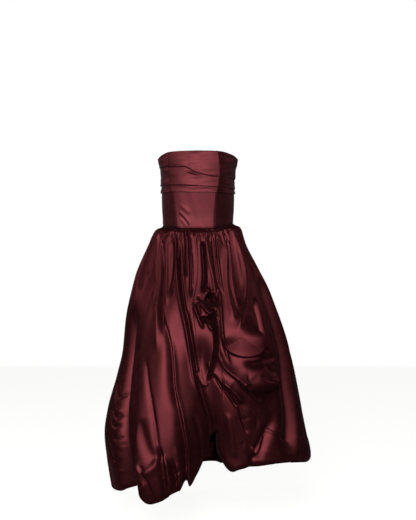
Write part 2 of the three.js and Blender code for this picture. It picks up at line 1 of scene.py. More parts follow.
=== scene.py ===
import json
import math
import bpy
import numpy as np
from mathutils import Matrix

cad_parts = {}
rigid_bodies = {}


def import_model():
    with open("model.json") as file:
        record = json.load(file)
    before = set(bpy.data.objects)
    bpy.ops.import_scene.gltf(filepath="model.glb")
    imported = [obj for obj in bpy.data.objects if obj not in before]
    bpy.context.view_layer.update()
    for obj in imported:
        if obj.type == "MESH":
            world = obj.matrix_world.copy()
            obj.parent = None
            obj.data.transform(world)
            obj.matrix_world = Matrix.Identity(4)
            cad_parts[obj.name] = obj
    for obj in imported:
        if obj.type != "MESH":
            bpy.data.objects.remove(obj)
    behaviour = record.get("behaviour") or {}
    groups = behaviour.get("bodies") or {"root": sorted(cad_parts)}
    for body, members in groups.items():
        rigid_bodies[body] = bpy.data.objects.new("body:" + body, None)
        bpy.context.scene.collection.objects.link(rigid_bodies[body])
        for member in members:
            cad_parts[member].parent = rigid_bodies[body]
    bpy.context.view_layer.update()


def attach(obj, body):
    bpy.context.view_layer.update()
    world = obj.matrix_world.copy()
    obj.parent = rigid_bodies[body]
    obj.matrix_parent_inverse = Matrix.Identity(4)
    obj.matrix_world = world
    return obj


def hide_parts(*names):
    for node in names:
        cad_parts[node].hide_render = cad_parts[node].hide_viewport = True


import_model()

mm = 0.001  # the frame is in metres, the gown's sizes below are in millimetres

# Angles run round the body in degrees: 0 at the front, 90 on the wearer's left, 180 at the back.
# A drop is a distance down from the waist seam, a height is one up from it.


def addObject(name, data):
    item = bpy.data.objects.new(name, data)
    bpy.context.collection.objects.link(item)
    return item


# Links each input to an output, or to a node's first output, or sets it to a value.
def setInputs(node, inputs):
    for socket, value in inputs.items():
        if isinstance(value, bpy.types.Node):
            value = value.outputs[0]
        if isinstance(value, bpy.types.NodeSocket):
            node.id_data.links.new(value, node.inputs[socket])
        else:
            node.inputs[socket].default_value = value


def addNode(tree, kind, inputs, **settings):
    node = tree.nodes.new(kind)
    for name, value in settings.items():
        setattr(node, name, value)
    setInputs(node, inputs)
    return node


# Gives a node group its named inputs and outputs, each of its kind.
def addSockets(group, inputs, outputs):
    for way, sockets in (("INPUT", inputs), ("OUTPUT", outputs)):
        for name, kind in sockets.items():
            group.interface.new_socket(name, in_out=way, socket_type="NodeSocket" + kind)
    return group.nodes.new("NodeGroupInput"), group.nodes.new("NodeGroupOutput")


def newMaterial(name):
    material = bpy.data.materials.new(name)
    material.use_nodes = True
    return material, material.node_tree, material.node_tree.nodes["Principled BSDF"]


# Stretches a value that runs from 0 to 1 between two limits.
def spread(tree, value, limits):
    low, high = limits
    return addNode(tree, "ShaderNodeMapRange", {"Value": value, "To Min": low, "To Max": high})


# Camera, light and floor
studio = {
    "cameraBack": 3200, "cameraAside": 35.4, "cameraHeight": -107, "lens": 62.585,
    "keySize": (1300, 2600), "keyPower": 154, "keyPlace": (-300, -3350, 980), "aimHeight": -250,
    "sideSize": (600, 900), "leftPower": 12, "rightPower": 5, "sidePlace": (2300, 500, 900),
    "worldTone": (0.86, 0.88, 0.92), "worldStrength": 0.009,
    "floorHeight": -1012, "floorSize": 9000, "floorTone": 0.2, "floorRough": 0.9,
    "glowTone": (1, 1, 0.99), "floorGlow": 0.93,
}


def areaLight(name, place, size, power):
    lamp = bpy.data.lights.new(name, "AREA")
    lamp.energy = power
    lamp.shape = "RECTANGLE"
    lamp.size, lamp.size_y = (value * mm for value in size)
    stand = addObject(name, lamp)
    stand.location = [value * mm for value in place]
    direction = stand.location - type(stand.location)((0, 0, studio["aimHeight"] * mm))
    stand.rotation_euler = direction.to_track_quat("Z", "Y").to_euler()


def makeStudio():
    camera = bpy.data.cameras.new("camera")
    camera.sensor_width = 36
    camera.sensor_fit = "AUTO"
    camera.lens = studio["lens"]
    camera.clip_end = 50
    eye = addObject("camera", camera)
    eye.location = (studio["cameraAside"] * mm, -studio["cameraBack"] * mm, studio["cameraHeight"] * mm)
    eye.rotation_euler = (math.radians(90), 0, 0)
    bpy.context.scene.camera = eye

    areaLight("keyLight", studio["keyPlace"], studio["keySize"], studio["keyPower"])
    right = studio["sidePlace"]
    areaLight("sideLightLeft", (-right[0], right[1], right[2]), studio["sideSize"], studio["leftPower"])
    areaLight("sideLightRight", right, studio["sideSize"], studio["rightPower"])

    bpy.context.scene.view_settings.view_transform = "Standard"
    world = bpy.data.worlds.new("studioAir")
    world.use_nodes = True
    bpy.context.scene.world = world
    tree = world.node_tree
    air = tree.nodes["Background"]
    setInputs(air, {"Color": (*studio["worldTone"], 1), "Strength": studio["worldStrength"]})
    backdrop = addNode(tree, "ShaderNodeBackground", {"Color": (1, 1, 1, 1), "Strength": 1})
    seen = addNode(tree, "ShaderNodeLightPath", {})
    pick = addNode(tree, "ShaderNodeMixShader", {0: seen.outputs["Is Camera Ray"], 1: air, 2: backdrop})
    setInputs(tree.nodes["World Output"], {"Surface": pick})

    half = studio["floorSize"] * mm / 2
    ground = studio["floorHeight"] * mm
    corners = [(-half, -half, ground), (half, -half, ground), (half, half, ground), (-half, half, ground)]
    mesh = bpy.data.meshes.new("floor")
    mesh.from_pydata(corners, [], [(0, 1, 2, 3)])
    floor = addObject("floor", mesh)
    pale, tree, shader = newMaterial("paleFloor")
    # the glow is for the eye alone, so that it lights no cloth from below
    looked = addNode(tree, "ShaderNodeLightPath", {})
    glow = addNode(tree, "ShaderNodeMath", {0: looked.outputs["Is Camera Ray"], 1: studio["floorGlow"]},
                   operation="MULTIPLY")
    setInputs(shader, {"Base Color": (*[studio["floorTone"]] * 3, 1), "Roughness": studio["floorRough"],
                       "Emission Color": (*studio["glowTone"], 1), "Emission Strength": glow})
    mesh.materials.append(pale)


makeStudio()
print("studio set")

# Finishes
satin = {
    # The first three tones are one satin in lit and shaded copies, to even out how the lamps leave each piece
    # lit: the skirt's tone is darkened (painted shade), the bodice's is lightened (painted light) and the
    # band's is darkened a little (painted shade). The sewing thread shares the skirt's darkened tone.
    "tone": (0.066, 0.0117, 0.0142), "bodicePaintedLightTone": (0.09, 0.0178, 0.0215), "bandPaintedShadeTone": (0.07, 0.0133, 0.0163),
    "reverseTone": (0.03, 0.005, 0.007), "tapeTone": (0.022, 0.005, 0.007), "edgeTone": (0.8, 0.42, 0.45),
    "rough": 0.49, "reverseRough": 0.6, "tapeRough": 0.8, "threadRough": 0.5,
    "metallic": 0.92, "threadMetallic": 0.3, "anisotropic": 0.2,
    "sheen": 0.02, "firmSheen": 0.08, "sheenTone": (0.75, 0.55, 0.65), "sheenRough": 0.4,
}
# threads and slubs for each metre, how much slower a float changes along the cloth, and the relief
weave = {
    "threads": 2600, "floatShare": 0.06, "slubs": 34, "slubDetail": 3,
    "slubShade": (0.86, 1.14), "floatShade": (0.9, 1.1), "bump": 0.12, "relief": 0.00002,
}
lacquer = {
    "tone": (0.11, 0.018, 0.026), "rough": (0.22, 0.42), "scuffs": 700, "metallic": 0.6, "coat": 0.5,
}


# Threads of a satin weave on the cut's own uv, in metres: fine ribs one way, broken by floats.
def makeWeaveGroup():
    group = bpy.data.node_groups.new("satinWeave", "ShaderNodeTree")
    given, result = addSockets(group, {"Tone": "Color", "Roughness": "Float", "Threads": "Float"},
                               {"Color": "Color", "Roughness": "Float", "Height": "Float"})

    def times(a, b):
        return addNode(group, "ShaderNodeMath", {0: a, 1: b}, operation="MULTIPLY")

    cut = addNode(group, "ShaderNodeUVMap", {}, uv_map="cut")
    parts = addNode(group, "ShaderNodeSeparateXYZ", {0: cut})
    across = times(parts.outputs[0], given.outputs["Threads"])
    along = times(parts.outputs[1], given.outputs["Threads"])
    stretched = addNode(group, "ShaderNodeCombineXYZ", {0: across, 1: times(along, weave["floatShare"])})
    floats = addNode(group, "ShaderNodeTexNoise", {"Vector": stretched, "Scale": 1, "Detail": 1})
    slubs = addNode(group, "ShaderNodeTexNoise",
                    {"Vector": cut, "Scale": weave["slubs"], "Detail": weave["slubDetail"]})
    shade = spread(group, slubs, weave["slubShade"])
    threadShade = spread(group, floats, weave["floatShade"])
    tinted = addNode(group, "ShaderNodeVectorMath",
                     {0: given.outputs["Tone"], "Scale": times(shade, threadShade)}, operation="SCALE")
    setInputs(result, {"Color": tinted, "Roughness": times(given.outputs["Roughness"], shade),
                       "Height": floats})
    return group


weaveGroup = makeWeaveGroup()


def makeSatin(name, tone, rough, metallic, anisotropic=0.0, sheen=0.0):
    material, tree, shader = newMaterial(name)
    threads = addNode(tree, "ShaderNodeGroup", {"Tone": (*tone, 1), "Roughness": rough,
                                                "Threads": weave["threads"]}, node_tree=weaveGroup)
    bump = addNode(tree, "ShaderNodeBump", {"Strength": weave["bump"], "Distance": weave["relief"],
                                            "Height": threads.outputs["Height"]})
    setInputs(shader, {
        "Base Color": threads.outputs["Color"], "Roughness": threads.outputs["Roughness"],
        "Normal": bump, "Metallic": metallic, "Anisotropic": anisotropic,
        "Specular Tint": (*satin["edgeTone"], 1), "Sheen Weight": sheen,
        "Sheen Tint": (*satin["sheenTone"], 1), "Sheen Roughness": satin["sheenRough"],
    })
    return material


def makeFace(name, tone, sheen):
    return makeSatin(name, tone, satin["rough"], satin["metallic"], satin["anisotropic"], sheen)


# Copies of one satin for the skirt, bodice and band: their tones carry painted shade on the skirt and band,
# and painted light on the bodice
skirtPaintedShadeFace = makeFace("skirtSatinPaintedShade", satin["tone"], satin["sheen"])
bodicePaintedLightFace = makeFace("bodiceSatinPaintedLight", satin["bodicePaintedLightTone"], satin["firmSheen"])
bandPaintedShadeFace = makeFace("bandSatinPaintedShade", satin["bandPaintedShadeTone"], satin["firmSheen"])
satinReverse = makeSatin("satinReverse", satin["reverseTone"], satin["reverseRough"], 0.0)
wovenTape = makeSatin("wovenTape", satin["tapeTone"], satin["tapeRough"], 0.0)
sewingThread = makeSatin("sewingThread", satin["tone"], satin["threadRough"], satin["threadMetallic"])


def makeLacquer():
    material, tree, shader = newMaterial("burgundyLacquer")
    place = addNode(tree, "ShaderNodeTexCoord", {})
    scuffs = addNode(tree, "ShaderNodeTexNoise", {"Vector": place.outputs["Object"],
                                                  "Scale": lacquer["scuffs"]})
    setInputs(shader, {"Base Color": (*lacquer["tone"], 1), "Metallic": lacquer["metallic"],
                       "Roughness": spread(tree, scuffs, lacquer["rough"]),
                       "Coat Weight": lacquer["coat"]})
    return material


burgundyLacquer = makeLacquer()
print("finishes made")


# The value of a table's column at each x, along a monotone cubic through the rows.
def read(table, key, column, x):
    knots = np.array([row[key] for row in table], float)
    values = np.array([row[column] for row in table], float)
    x = np.clip(x, knots[0], knots[-1])
    width = np.diff(knots)
    slope = np.diff(values) / width
    tangent = np.empty_like(values)
    tangent[0], tangent[-1] = slope[0], slope[-1]
    before, after = slope[:-1], slope[1:]
    same = before * after > 0
    safeBefore, safeAfter = np.where(same, before, 1), np.where(same, after, 1)
    mean = (width[:-1] + width[1:]) / (width[:-1] / safeAfter + width[1:] / safeBefore)
    tangent[1:-1] = np.where(same, mean, 0)
    i = np.clip(np.searchsorted(knots, x, side="right") - 1, 0, len(knots) - 2)
    h = width[i]
    t = (x - knots[i]) / h
    return ((1 + 2 * t) * (1 - t) ** 2 * values[i] + t * (1 - t) ** 2 * h * tangent[i]
            + t * t * (3 - 2 * t) * values[i + 1] + t * t * (t - 1) * h * tangent[i + 1])


def readAll(table, key, columns, x):
    return [read(table, key, column, x) for column in columns.split()]


def smooth(x, low, high):
    t = np.clip((x - low) / (high - low), 0, 1)
    return t * t * (3 - 2 * t)


def wrap(angle):
    return (np.asarray(angle, float) + 180) % 360 - 180


def lerp(a, b, t):
    return a + (b - a) * t


def rows(keys, *values):
    return [dict(zip(keys.split(), row)) for row in values]


def steps(count):
    return np.linspace(0, 1, count)


# The gown's form: tables that give its plain section, seams and hem
sideSeam = 88
bodice = {
    "boned": 0.45, "wall": 1.8,
    "sections": rows(
        "height side front back square",
        (0, 125.5, 94, 92, 2.5), (31, 125.5, 95, 91, 2.5), (73, 128, 99, 92, 2.5), (116, 129, 105, 95, 2.5),
        (162, 127.5, 113, 99, 2.5), (204, 131, 115, 102, 2.5), (247, 140, 113, 106, 2.4),
        (270, 142, 109, 108, 2.4)),
    "seams": rows("height rightFront leftFront back",
                  (0, -42, 33, 148), (110, -45, 33, 145), (190, -48, 36, 143), (270, -48, 34, 141)),
    "topEdge": rows("angle height", (0, 268), (40, 266), (65, 258), (90, 247), (140, 236), (180, 234)),
    "waistSeam": rows("angle height",
                      (-180, 18), (-90, 15), (-60, 8), (-32, 0), (28, 0), (60, 13), (90, 24), (180, 18)),
}
skirt = {
    "wall": 1.2, "hemRoll": 24, "turnUp": 58, "waistFade": 150, "waistBlend": 12,
    "sections": rows(
        "drop left right front back square",
        (0, 136, 130, 98, 99, 2.35), (25, 154, 158, 107, 121, 2.3), (60, 167, 176, 118, 149, 2.2),
        (170, 232, 226, 156, 218, 2.1), (290, 280, 256, 212, 284, 2), (420, 320, 266, 250, 338, 2),
        (510, 343, 287, 272, 368, 2), (630, 371, 319, 298, 398, 2), (710, 385, 329, 312, 412, 2),
        (790, 400, 320, 318, 420, 2), (860, 390, 308, 312, 418, 2), (940, 380, 292, 296, 404, 2)),
    "hem": rows(
        "angle drop",
        (-180, 906), (-130, 912), (-95, 918), (-75, 906), (-60, 880), (-50, 856), (-38, 830), (-34.5, 876),
        (-29, 898), (-21.8, 886), (-16, 864), (-12, 858), (-8.5, 826), (-5.5, 846), (-0.9, 818), (6.3, 768),
        (10.4, 724), (15, 676), (17.6, 682), (18.8, 744), (20.4, 762), (27.6, 806), (31, 800), (38, 794),
        (44, 790), (52, 786), (63.5, 784), (85, 816), (110, 852), (140, 890), (180, 906)),
    "frontSeam": rows(
        "drop angle",
        (0, -5), (120, 0), (184, -1.6), (250, -5), (360, -1), (450, 1), (511, 4), (581, 9.6), (640, 14.4),
        (655, 15), (950, 15)),
}


# Reach of a squared ellipse that has its own size on each side.
def oval(angle, left, right, front, back, square):
    across, ahead = np.sin(np.radians(angle)), np.cos(np.radians(angle))
    side = np.abs(across / np.where(across >= 0, left, right)) ** square
    depth = np.abs(ahead / np.where(ahead >= 0, front, back)) ** square
    return (side + depth) ** (-1 / square)


def around(angle, radius, height):
    turn = np.radians(angle)
    return np.stack([radius * np.sin(turn), -radius * np.cos(turn), height + 0 * radius], -1)


def bodiceSeams(height):
    back, rightFront, leftFront = readAll(bodice["seams"], "height", "back rightFront leftFront", height)
    flat = np.zeros_like(back)
    return [flat - 180, -back, flat - sideSeam, rightFront, leftFront, flat + sideSeam, back, flat + 180]


def bodiceOval(angle, height):
    side, front, back, square = readAll(bodice["sections"], "height", "side front back square", height)
    return oval(angle, side, side, front, back, square)


# The bones along the seams pull each panel part of the way to its chord.
def bodiceRadius(angle, height):
    height = np.asarray(height, float) + 0 * np.asarray(angle, float)
    at = wrap(angle)
    free = bodiceOval(at, height)
    seams = bodiceSeams(height)
    radius = free.copy()
    for low, high in zip(seams[:-1], seams[1:]):
        a, b = bodiceOval(low, height), bodiceOval(high, height)
        span = np.sin(np.radians(high - low))
        chord = a * b * span / (a * np.sin(np.radians(at - low)) + b * np.sin(np.radians(high - at)) + 1e-9)
        inside = (at >= low) & (at < high)
        radius = np.where(inside, lerp(free, chord, bodice["boned"]), radius)
    return radius


def waistHeight(angle):
    return read(bodice["waistSeam"], "angle", "height", wrap(angle))


def topHeight(angle):
    return read(bodice["topEdge"], "angle", "height", np.abs(wrap(angle)))


def skirtOval(angle, drop):
    own = oval(angle, *readAll(skirt["sections"], "drop", "left right front back square", drop))
    return lerp(bodiceRadius(angle, 0 * drop), own, smooth(drop, 0, skirt["waistBlend"]))


def girth(drop):
    table = [{"drop": row["drop"], "radius": (row["left"] + row["right"] + row["front"] + row["back"]) / 4}
             for row in skirt["sections"]]
    return read(table, "drop", "radius", drop)


# Folds. Each swell: how far out, centred where, reaching how far round and down.
swells = rows("out angle drop round down",
              (-62, 5, 800, 17, 170), (-52, 31, 785, 22, 160), (16, 34, 330, 12, 70), (22, 38, 480, 15, 56),
              (12, -28, 420, 13, 230), (14, -28, 820, 9, 90), (-10, 4, 430, 7, 60), (-16, 52, 560, 8, 120),
              (10, 60, 640, 12, 90))


# A fold stands out (or in) along a line of angle and drop, with its own reach on either flank. A pair of
# values runs from the line's start to its end. Crisp sharpens its crest, fade is how much of its length
# either end takes to rise, and lean tips the crest over its right flank; a row may leave out the last ones.
def fold(out, left, right, line, crisp=0.0, fade=0.16, lean=0):
    fade = fade if isinstance(fade, tuple) else (fade, fade)
    return dict(out=out, left=left, right=right, line=line, crisp=crisp, fade=fade, lean=lean)


rightFrontFolds = rows(
    "out left right line crisp fade lean",
    # the front lobe's edge, the dark scoop behind it and the wrinkles at its far side
    ((14, 25), (7, 9), (40, 66), [(-46, 150), (-45.5, 240), (-43.5, 390), (-39.5, 545), (-34.8, 735),
     (-33.4, 990)], 0.4),
    ((-5, -30), (4, 9), (4, 9), [(-65.5, 300), (-63, 470), (-60, 560), (-52.5, 740)], 0.3),
    ((-14, -94), (10, 50), (32, 36), [(-66, 240), (-65, 390), (-63, 470), (-60, 560), (-52.5, 740),
     (-50, 990)], 0.5),
    (-6, 5, 7, [(-76, 520), (-71, 560), (-66, 575), (-61, 560)], 0.4),
    (-6, 6, 7, [(-76, 600), (-71, 650), (-65, 672), (-59, 660)], 0.4),
    (5, 7, 8, [(-77, 640), (-71, 700), (-65, 730), (-58, 724)], 0.4),
    (-7, 6, 7, [(-78, 690), (-72, 752), (-66, 785), (-57, 780)], 0.4),
    (5, 5, 6, [(-71, 560), (-66, 612), (-61, 618)], 0.4),
    (-5, 4, 6, [(-70, 610), (-65, 640), (-60, 636)], 0.5),
    (-5, 4, 6, [(-68, 690), (-63, 712), (-57, 704)], 0.5),
    (5, 5, 6, [(-70, 770), (-64, 812), (-57, 822)], 0.4),
    # the lobe's own creases, down to the tuck in its hem
    (-6, 12, 6, [(-38, 420), (-33, 510), (-28.5, 580), (-25, 644), (-21.5, 735)], 0.5),
    (-8, 24, 18, [(-36, 620), (-31, 680), (-26, 735), (-22, 750)]),
    (7, 14, 14, [(-36, 760), (-31, 790), (-26, 780), (-21, 745)]),
    (-20, 8, 6, [(-22.5, 700), (-20.5, 770), (-20, 840), (-20.5, 990)]),
    (12, 4.5, 4.5, [(-20.2, 725), (-17.8, 770), (-16.8, 845), (-16.5, 960)], 0.6),
    (10, 4, 5, [(-20.6, 730), (-20.2, 800), (-19.3, 850), (-19.4, 900)], 0.6),
    (-16, 5, 7, [(-16, 740), (-14.6, 800), (-13.4, 850), (-13, 990)]),
    (-9, 5, 5, [(-31, 780), (-28, 830), (-26, 880), (-25, 930)], 0.4),
    # the long folds from the waist
    ((-9, -22), (9, 22), (4, 6), [(-57, 12), (-41, 178), (-30, 292), (-22.5, 374), (-19, 434), (-15.5, 516),
     (-11, 605), (-8.2, 716), (-7.4, 820), (-7.4, 990)], 0.5, 0.08),
    ((7, 10), (4, 6), (8, 12), [(-24, 330), (-17.5, 434), (-12.6, 560), (-9.2, 640), (-6.4, 740),
     (-5.6, 850), (-5.6, 990)], 0.4),
    ((-26, -44), (60, 76), (56, 44), [(3, 335), (4, 440), (5.5, 500), (9, 600), (13, 700), (14, 990)], 0,
     (0.2, 0.05)),
    ((7, 5), (5, 12), (5, 12), [(-62, 20), (-49, 120), (-40, 215), (-34, 300), (-30, 420)], 0.2),
    ((8, 10), (5, 9), (5, 8), [(-41, 8), (-26, 144), (-15.7, 250), (-9.6, 332), (-5.6, 414), (-1.6, 494),
     (3, 560)], 0.4),
    ((-11, -20), (5, 9), (6, 12), [(-34, 8), (-21.5, 150), (-12, 262), (-6.8, 340), (-3, 414), (1.2, 500),
     (6.2, 580), (11, 660), (13, 760)], 0.3, 0.1),
    (-10, 4, 4, [(-66, 8), (-54, 110), (-44, 190), (-38, 260)], 0.4),
    ((-9, -12), (4, 8), (4, 5), [(-62, 8), (-49, 110), (-38, 200), (-33, 270), (-27, 360)], 0.4),
    (7, 4, 5, [(-52, 8), (-42, 110), (-33, 190), (-27, 260)], 0.3),
    (-12, 4, 5, [(-46, 6), (-37, 70), (-30, 150), (-26, 235)], 0.3),
    (-8, 3, 3, [(-40, 4), (-34, 50), (-29, 110)], 0.4),
    (6, 7, 6, [(-31, 20), (-20, 130), (-12, 240), (-8, 320)]),
    (-9, 3.5, 4, [(-27, 4), (-22, 34), (-17.5, 90), (-13, 170)], 0.4),
    (-7, 3, 3, [(-19, 4), (-16, 26), (-11, 40)], 0.4),
    (-9, 5, 6, [(-15, 12), (-11, 90), (-8.5, 170), (-7.5, 240)], 0.2),
    (7, 5, 5, [(-9.5, 70), (-7.6, 140), (-6.8, 210)], 0.3),
    ((-7, -12), (5, 12), (5, 10), [(-76, 6), (-69, 90), (-65, 220)]),
    (-6, 5, 5, [(-82, 6), (-78, 110), (-76, 260)]),
    (-6, 4, 4, [(-71, 6), (-63, 90), (-58, 170)]),
    (4, 14, 14, [(-14, 560), (-10, 640), (-6, 740)]),
    (-5, 12, 9, [(-3, 600), (2, 700), (4, 790)]),
    (5, 10, 10, [(-13, 700), (-11, 800), (-11, 900)]),
)

leftFrontFolds = rows(
    "out left right line crisp fade lean",
    # the long hollow above the pick-up, and the folds fanning out beside it
    ((-18, -30), (5, 8), (6, 8), [(8.5, 40), (9, 80), (9, 130), (8, 175), (5.5, 218)], 0, 0.12),
    ((4, 6), (7, 8), (10, 12), [(14, 24), (16, 110), (18, 165), (18.5, 214)], 0.1, (0.2, 0.05)),
    (-5, 4, 4, [(24, 6), (24, 80), (23.6, 150), (23.6, 215)], 0.3),
    (-8, 3, 3, [(30, 4), (28, 50), (26.5, 110)], 0.4),
    (6, 4, 4, [(29, 20), (28.5, 90), (27.6, 170), (26.5, 225)], 0.4),
    ((-7, -9), (3, 5), (3, 4), [(53, 6), (45, 107), (39.5, 175), (36.8, 240), (34, 300)], 0.4),
    (9, 12, 12, [(48, 30), (37.5, 130), (32.5, 200), (29, 320)]),
    (-7, 3, 3, [(51, 4), (47, 50), (44, 100)], 0.4),
    ((-16, -28), (5, 11), (4, 8), [(60, 6), (54, 90), (47.5, 185), (41, 262)], 0.2, (0.1, 0.2)),
    ((8, 14), 4, 9, [(64, 20), (59, 114), (52, 192), (44, 245), (34, 300), (29.5, 345)], 0.3),
    (-8, 6, 7, [(74, 6), (69, 100), (65, 190)]),
    (10, 4, 5, [(23.5, 190), (22, 236), (21, 275), (20.4, 353), (21.4, 415), (22.4, 450)], 0.5),
    # the black slit below the caught-up point, its pits and its small lit loops
    ((-44, -26), (6, 5), (6, 5), [(14, 262), (15, 300), (16, 350), (15.5, 392), (12, 450), (8.5, 505)],
     0, 0.1),
    (-52, 15, 16, [(8, 226), (12, 238), (16, 250), (17.5, 262)], 0, 0.3),
    (-34, 11, 9, [(7, 292), (9.5, 302), (13.5, 318)], 0, 0.3),
    (13, 3.5, 5, [(4, 196), (9, 206), (14, 214), (20.5, 216)], 0.6, 0.1),
    (15, 4, 5, [(-2, 236), (4, 256), (9, 280), (14, 286), (18, 280)], 0.5, 0.15),
    (10, 5, 6, [(-5, 246), (1, 298), (5.5, 338)], 0.4, 0.2),
    (14, 3.5, 5, [(7.5, 286), (9.5, 316), (12.4, 334), (14.6, 324)], 0.5, 0.15),
    (9, 3, 3.5, [(6, 262), (9, 276), (13, 283), (17, 279), (18.5, 290)], 0.6, 0.12),
    (8, 2.6, 2.6, [(18.2, 262), (19, 256), (20.6, 257), (21, 264), (19.8, 269), (18.4, 266)], 0.3, 0.06),
    (-10, 4, 5, [(0, 225), (0.5, 262), (3, 290)], 0.4),
    (9, 4, 13, [(-0.6, 470), (1.6, 494), (3.6, 510), (6.6, 516), (9.6, 508)], 0.6, 0.16, -3),
    # swags below it, one under another
    (16, 4, 20, [(14.6, 380), (18, 446), (22.9, 478), (29.8, 508), (33, 500)], 0.6, 0.16, -5),
    (12, 4, 12, [(8.4, 440), (13.7, 487), (20.3, 518), (27, 553), (30, 580)], 0.6, 0.16, -4),
    (-12, 6, 5, [(12, 470), (17, 520), (23, 556), (28, 596)], 0.4),
    (10, 4, 9, [(28.6, 512), (35.3, 545), (42.5, 574), (45, 570)], 0.5, 0.16, -3),
    (20, 5, 44, [(20, 360), (23, 398), (29, 415), (36, 414), (41.5, 400), (44, 365), (45, 325)],
     0.1, 0.16, -6),
    (30, 66, 8, [(44.5, 280), (43.5, 340), (42.5, 400), (43.5, 450), (46.5, 491), (51, 535)], 0.2,
     (0.3, 0.12)),
    (-20, 7, 12, [(57, 230), (54, 316), (52, 378), (46.5, 425), (38, 446), (29, 440)], 0.2),
    (20, 5, 44, [(25, 485), (30, 515), (36, 527), (43, 531), (51, 529), (57, 512), (60, 480)],
     0.1, 0.16, -6),
    (-7, 5, 5, [(38, 480), (45, 500), (52, 500)], 0.4),
    (-8, 5, 10, [(27, 560), (30.7, 620), (34.5, 680)], 0.4),
    (6, 12, 12, [(20, 600), (24, 680), (27, 760)]),
    # the upright ridge and the hollow beside it, over the hem
    (-18, 18, 17, [(52, 600), (49.5, 650), (45, 700), (40.5, 746), (38, 790)], 0, (0.4, 0.16)),
    (12, 5, 6, [(37, 715), (39.6, 746), (42.5, 728), (46, 678)], 0.5),
    (-5, 6, 9, [(46, 655), (52, 684), (60, 708), (64, 725)], 0.2),
    # the long bright fold at the side, with a dark turn on either hand
    ((-16, -40), (24, 50), (8, 18), [(72, 130), (72.5, 200), (74, 330), (74.5, 400), (73, 450), (68, 540),
     (64.5, 620), (61.5, 740), (60, 790)], 0.2),
    ((8, 6), (6, 9), (8, 12), [(77, 110), (78, 200), (80, 395), (78, 450), (73, 540), (69, 620), (65.5, 740),
     (64, 800)]),
    ((-8, -14), 16, 22, [(96, 240), (94, 400), (90, 520), (86, 640), (82, 760)]),
)

# The back's long pipes, each a hollow from the waist to the hem, and the short pleats between them
pipes = {
    "left": 30, "right": 20, "middle": 420, "foot": 1100,
    "rows": rows(
        "top foot deep start",
        (97, 101, 30, 90), (113, 124, 36, 20), (136, 146, 30, 120), (157, 166, 40, 10), (181, 184, 28, 60),
        (201, 203, 42, 20), (222, 226, 30, 130), (246, 247, 38, 10), (262, 265, 26, 160)),
    "pleatFirst": 92, "pleatLast": 276, "pleatStep": 11.5, "pleatDeep": 8, "pleatReach": 6,
    "pleatTop": 4, "pleatLong": 330, "pleatShort": 170, "pleatSwing": 2, "pleatTurn": 1.7, "pleatCrisp": 0.3,
}


def backFolds():
    made = []
    for row in pipes["rows"]:
        middle = (row["top"] + row["foot"]) / 2
        line = [(row["top"], row["start"]), (middle, pipes["middle"]), (row["foot"], pipes["foot"])]
        made.append(fold(-row["deep"], pipes["left"], pipes["right"], line))
    for k, at in enumerate(np.arange(pipes["pleatFirst"], pipes["pleatLast"], pipes["pleatStep"])):
        length = pipes["pleatShort"] if k % 2 else pipes["pleatLong"]
        swing = pipes["pleatSwing"] * math.sin(pipes["pleatTurn"] * k)
        line = [(at, pipes["pleatTop"]), (at + swing, length / 2), (at + 2 * swing, length)]
        made.append(fold(-pipes["pleatDeep"], pipes["pleatReach"], pipes["pleatReach"], line,
                         crisp=pipes["pleatCrisp"]))
    return made


# Short creases scattered where the satin is crushed: how many, their middle and its spread, the way they run
# (0 is straight down) and how much that varies, their length and how far they stand out.
creases = {
    "seed": 11,
    "zones": rows(
        "count angle drop round down way sway long out",
        (12, -66, 700, 8, 130, 62, 22, 60, 3.5), (7, -27, 790, 9, 70, 35, 40, 60, 4),
        (9, -12, 800, 6, 60, -10, 25, 70, 3.5), (8, 24, 560, 10, 70, -50, 20, 60, 1.8),
        (6, 62, 730, 14, 60, 60, 30, 70, 3), (8, 40, 690, 8, 90, 10, 25, 60, 1.8),
        (10, -45, 560, 6, 160, -16, 10, 90, 2.5), (8, 50, 420, 10, 50, 75, 15, 60, 3),
        (16, 130, 800, 40, 90, 20, 40, 80, 4), (16, 225, 800, 40, 90, -20, 40, 80, 4)),
    "longShare": (0.5, 1.3), "bend": 0.35, "reach": (4, 8), "inShare": 1.2, "outShare": (0.5, 1.2),
    "crisp": 0.35, "fade": 0.45,
}
# gathers held by the waist seam, all the way round
gathers = {
    "first": -176, "last": 177, "step": 3.1, "shift": 1, "out": 3.2, "inShare": 1.3, "reach": 2.4, "top": 2,
    "long": (18, 75), "swing": 3, "sway": 0.6, "crisp": 0.3, "fade": (0.02, 0.6),
}


def makeCreases():
    dice = np.random.default_rng(creases["seed"])
    made = []
    for zone in creases["zones"]:
        for _ in range(zone["count"]):
            angle = zone["angle"] + zone["round"] * dice.uniform(-1, 1)
            drop = zone["drop"] + zone["down"] * dice.uniform(-1, 1)
            way = math.radians(zone["way"] + zone["sway"] * dice.normal())
            half = zone["long"] * dice.uniform(*creases["longShare"]) / 2
            bend = half * dice.uniform(-creases["bend"], creases["bend"])
            perDegree = math.radians(1) * float(girth(drop))
            ahead = np.array([math.sin(way) / perDegree, math.cos(way)])
            aside = np.array([math.cos(way) / perDegree, -math.sin(way)])
            middle = np.array([angle, drop])
            line = [tuple(middle - half * ahead), tuple(middle + bend * aside), tuple(middle + half * ahead)]
            reach = dice.uniform(*creases["reach"])
            out = zone["out"] * dice.choice([-creases["inShare"], 1]) * dice.uniform(*creases["outShare"])
            made.append(fold(out, reach, reach, line, crisp=creases["crisp"], fade=creases["fade"]))
    for at in np.arange(gathers["first"], gathers["last"], gathers["step"]):
        place = at + dice.uniform(-gathers["shift"], gathers["shift"])
        sway = dice.uniform(-gathers["sway"], gathers["sway"])
        swing = gathers["swing"] * math.sin(math.radians(place)) + sway
        long = dice.uniform(*gathers["long"])
        out = gathers["out"] * dice.choice([-gathers["inShare"], 1])
        line = [(place, gathers["top"]), (place + swing / 2, long / 2), (place + swing, long)]
        made.append(fold(out, gathers["reach"], gathers["reach"], line,
                         crisp=gathers["crisp"], fade=gathers["fade"]))
    return made


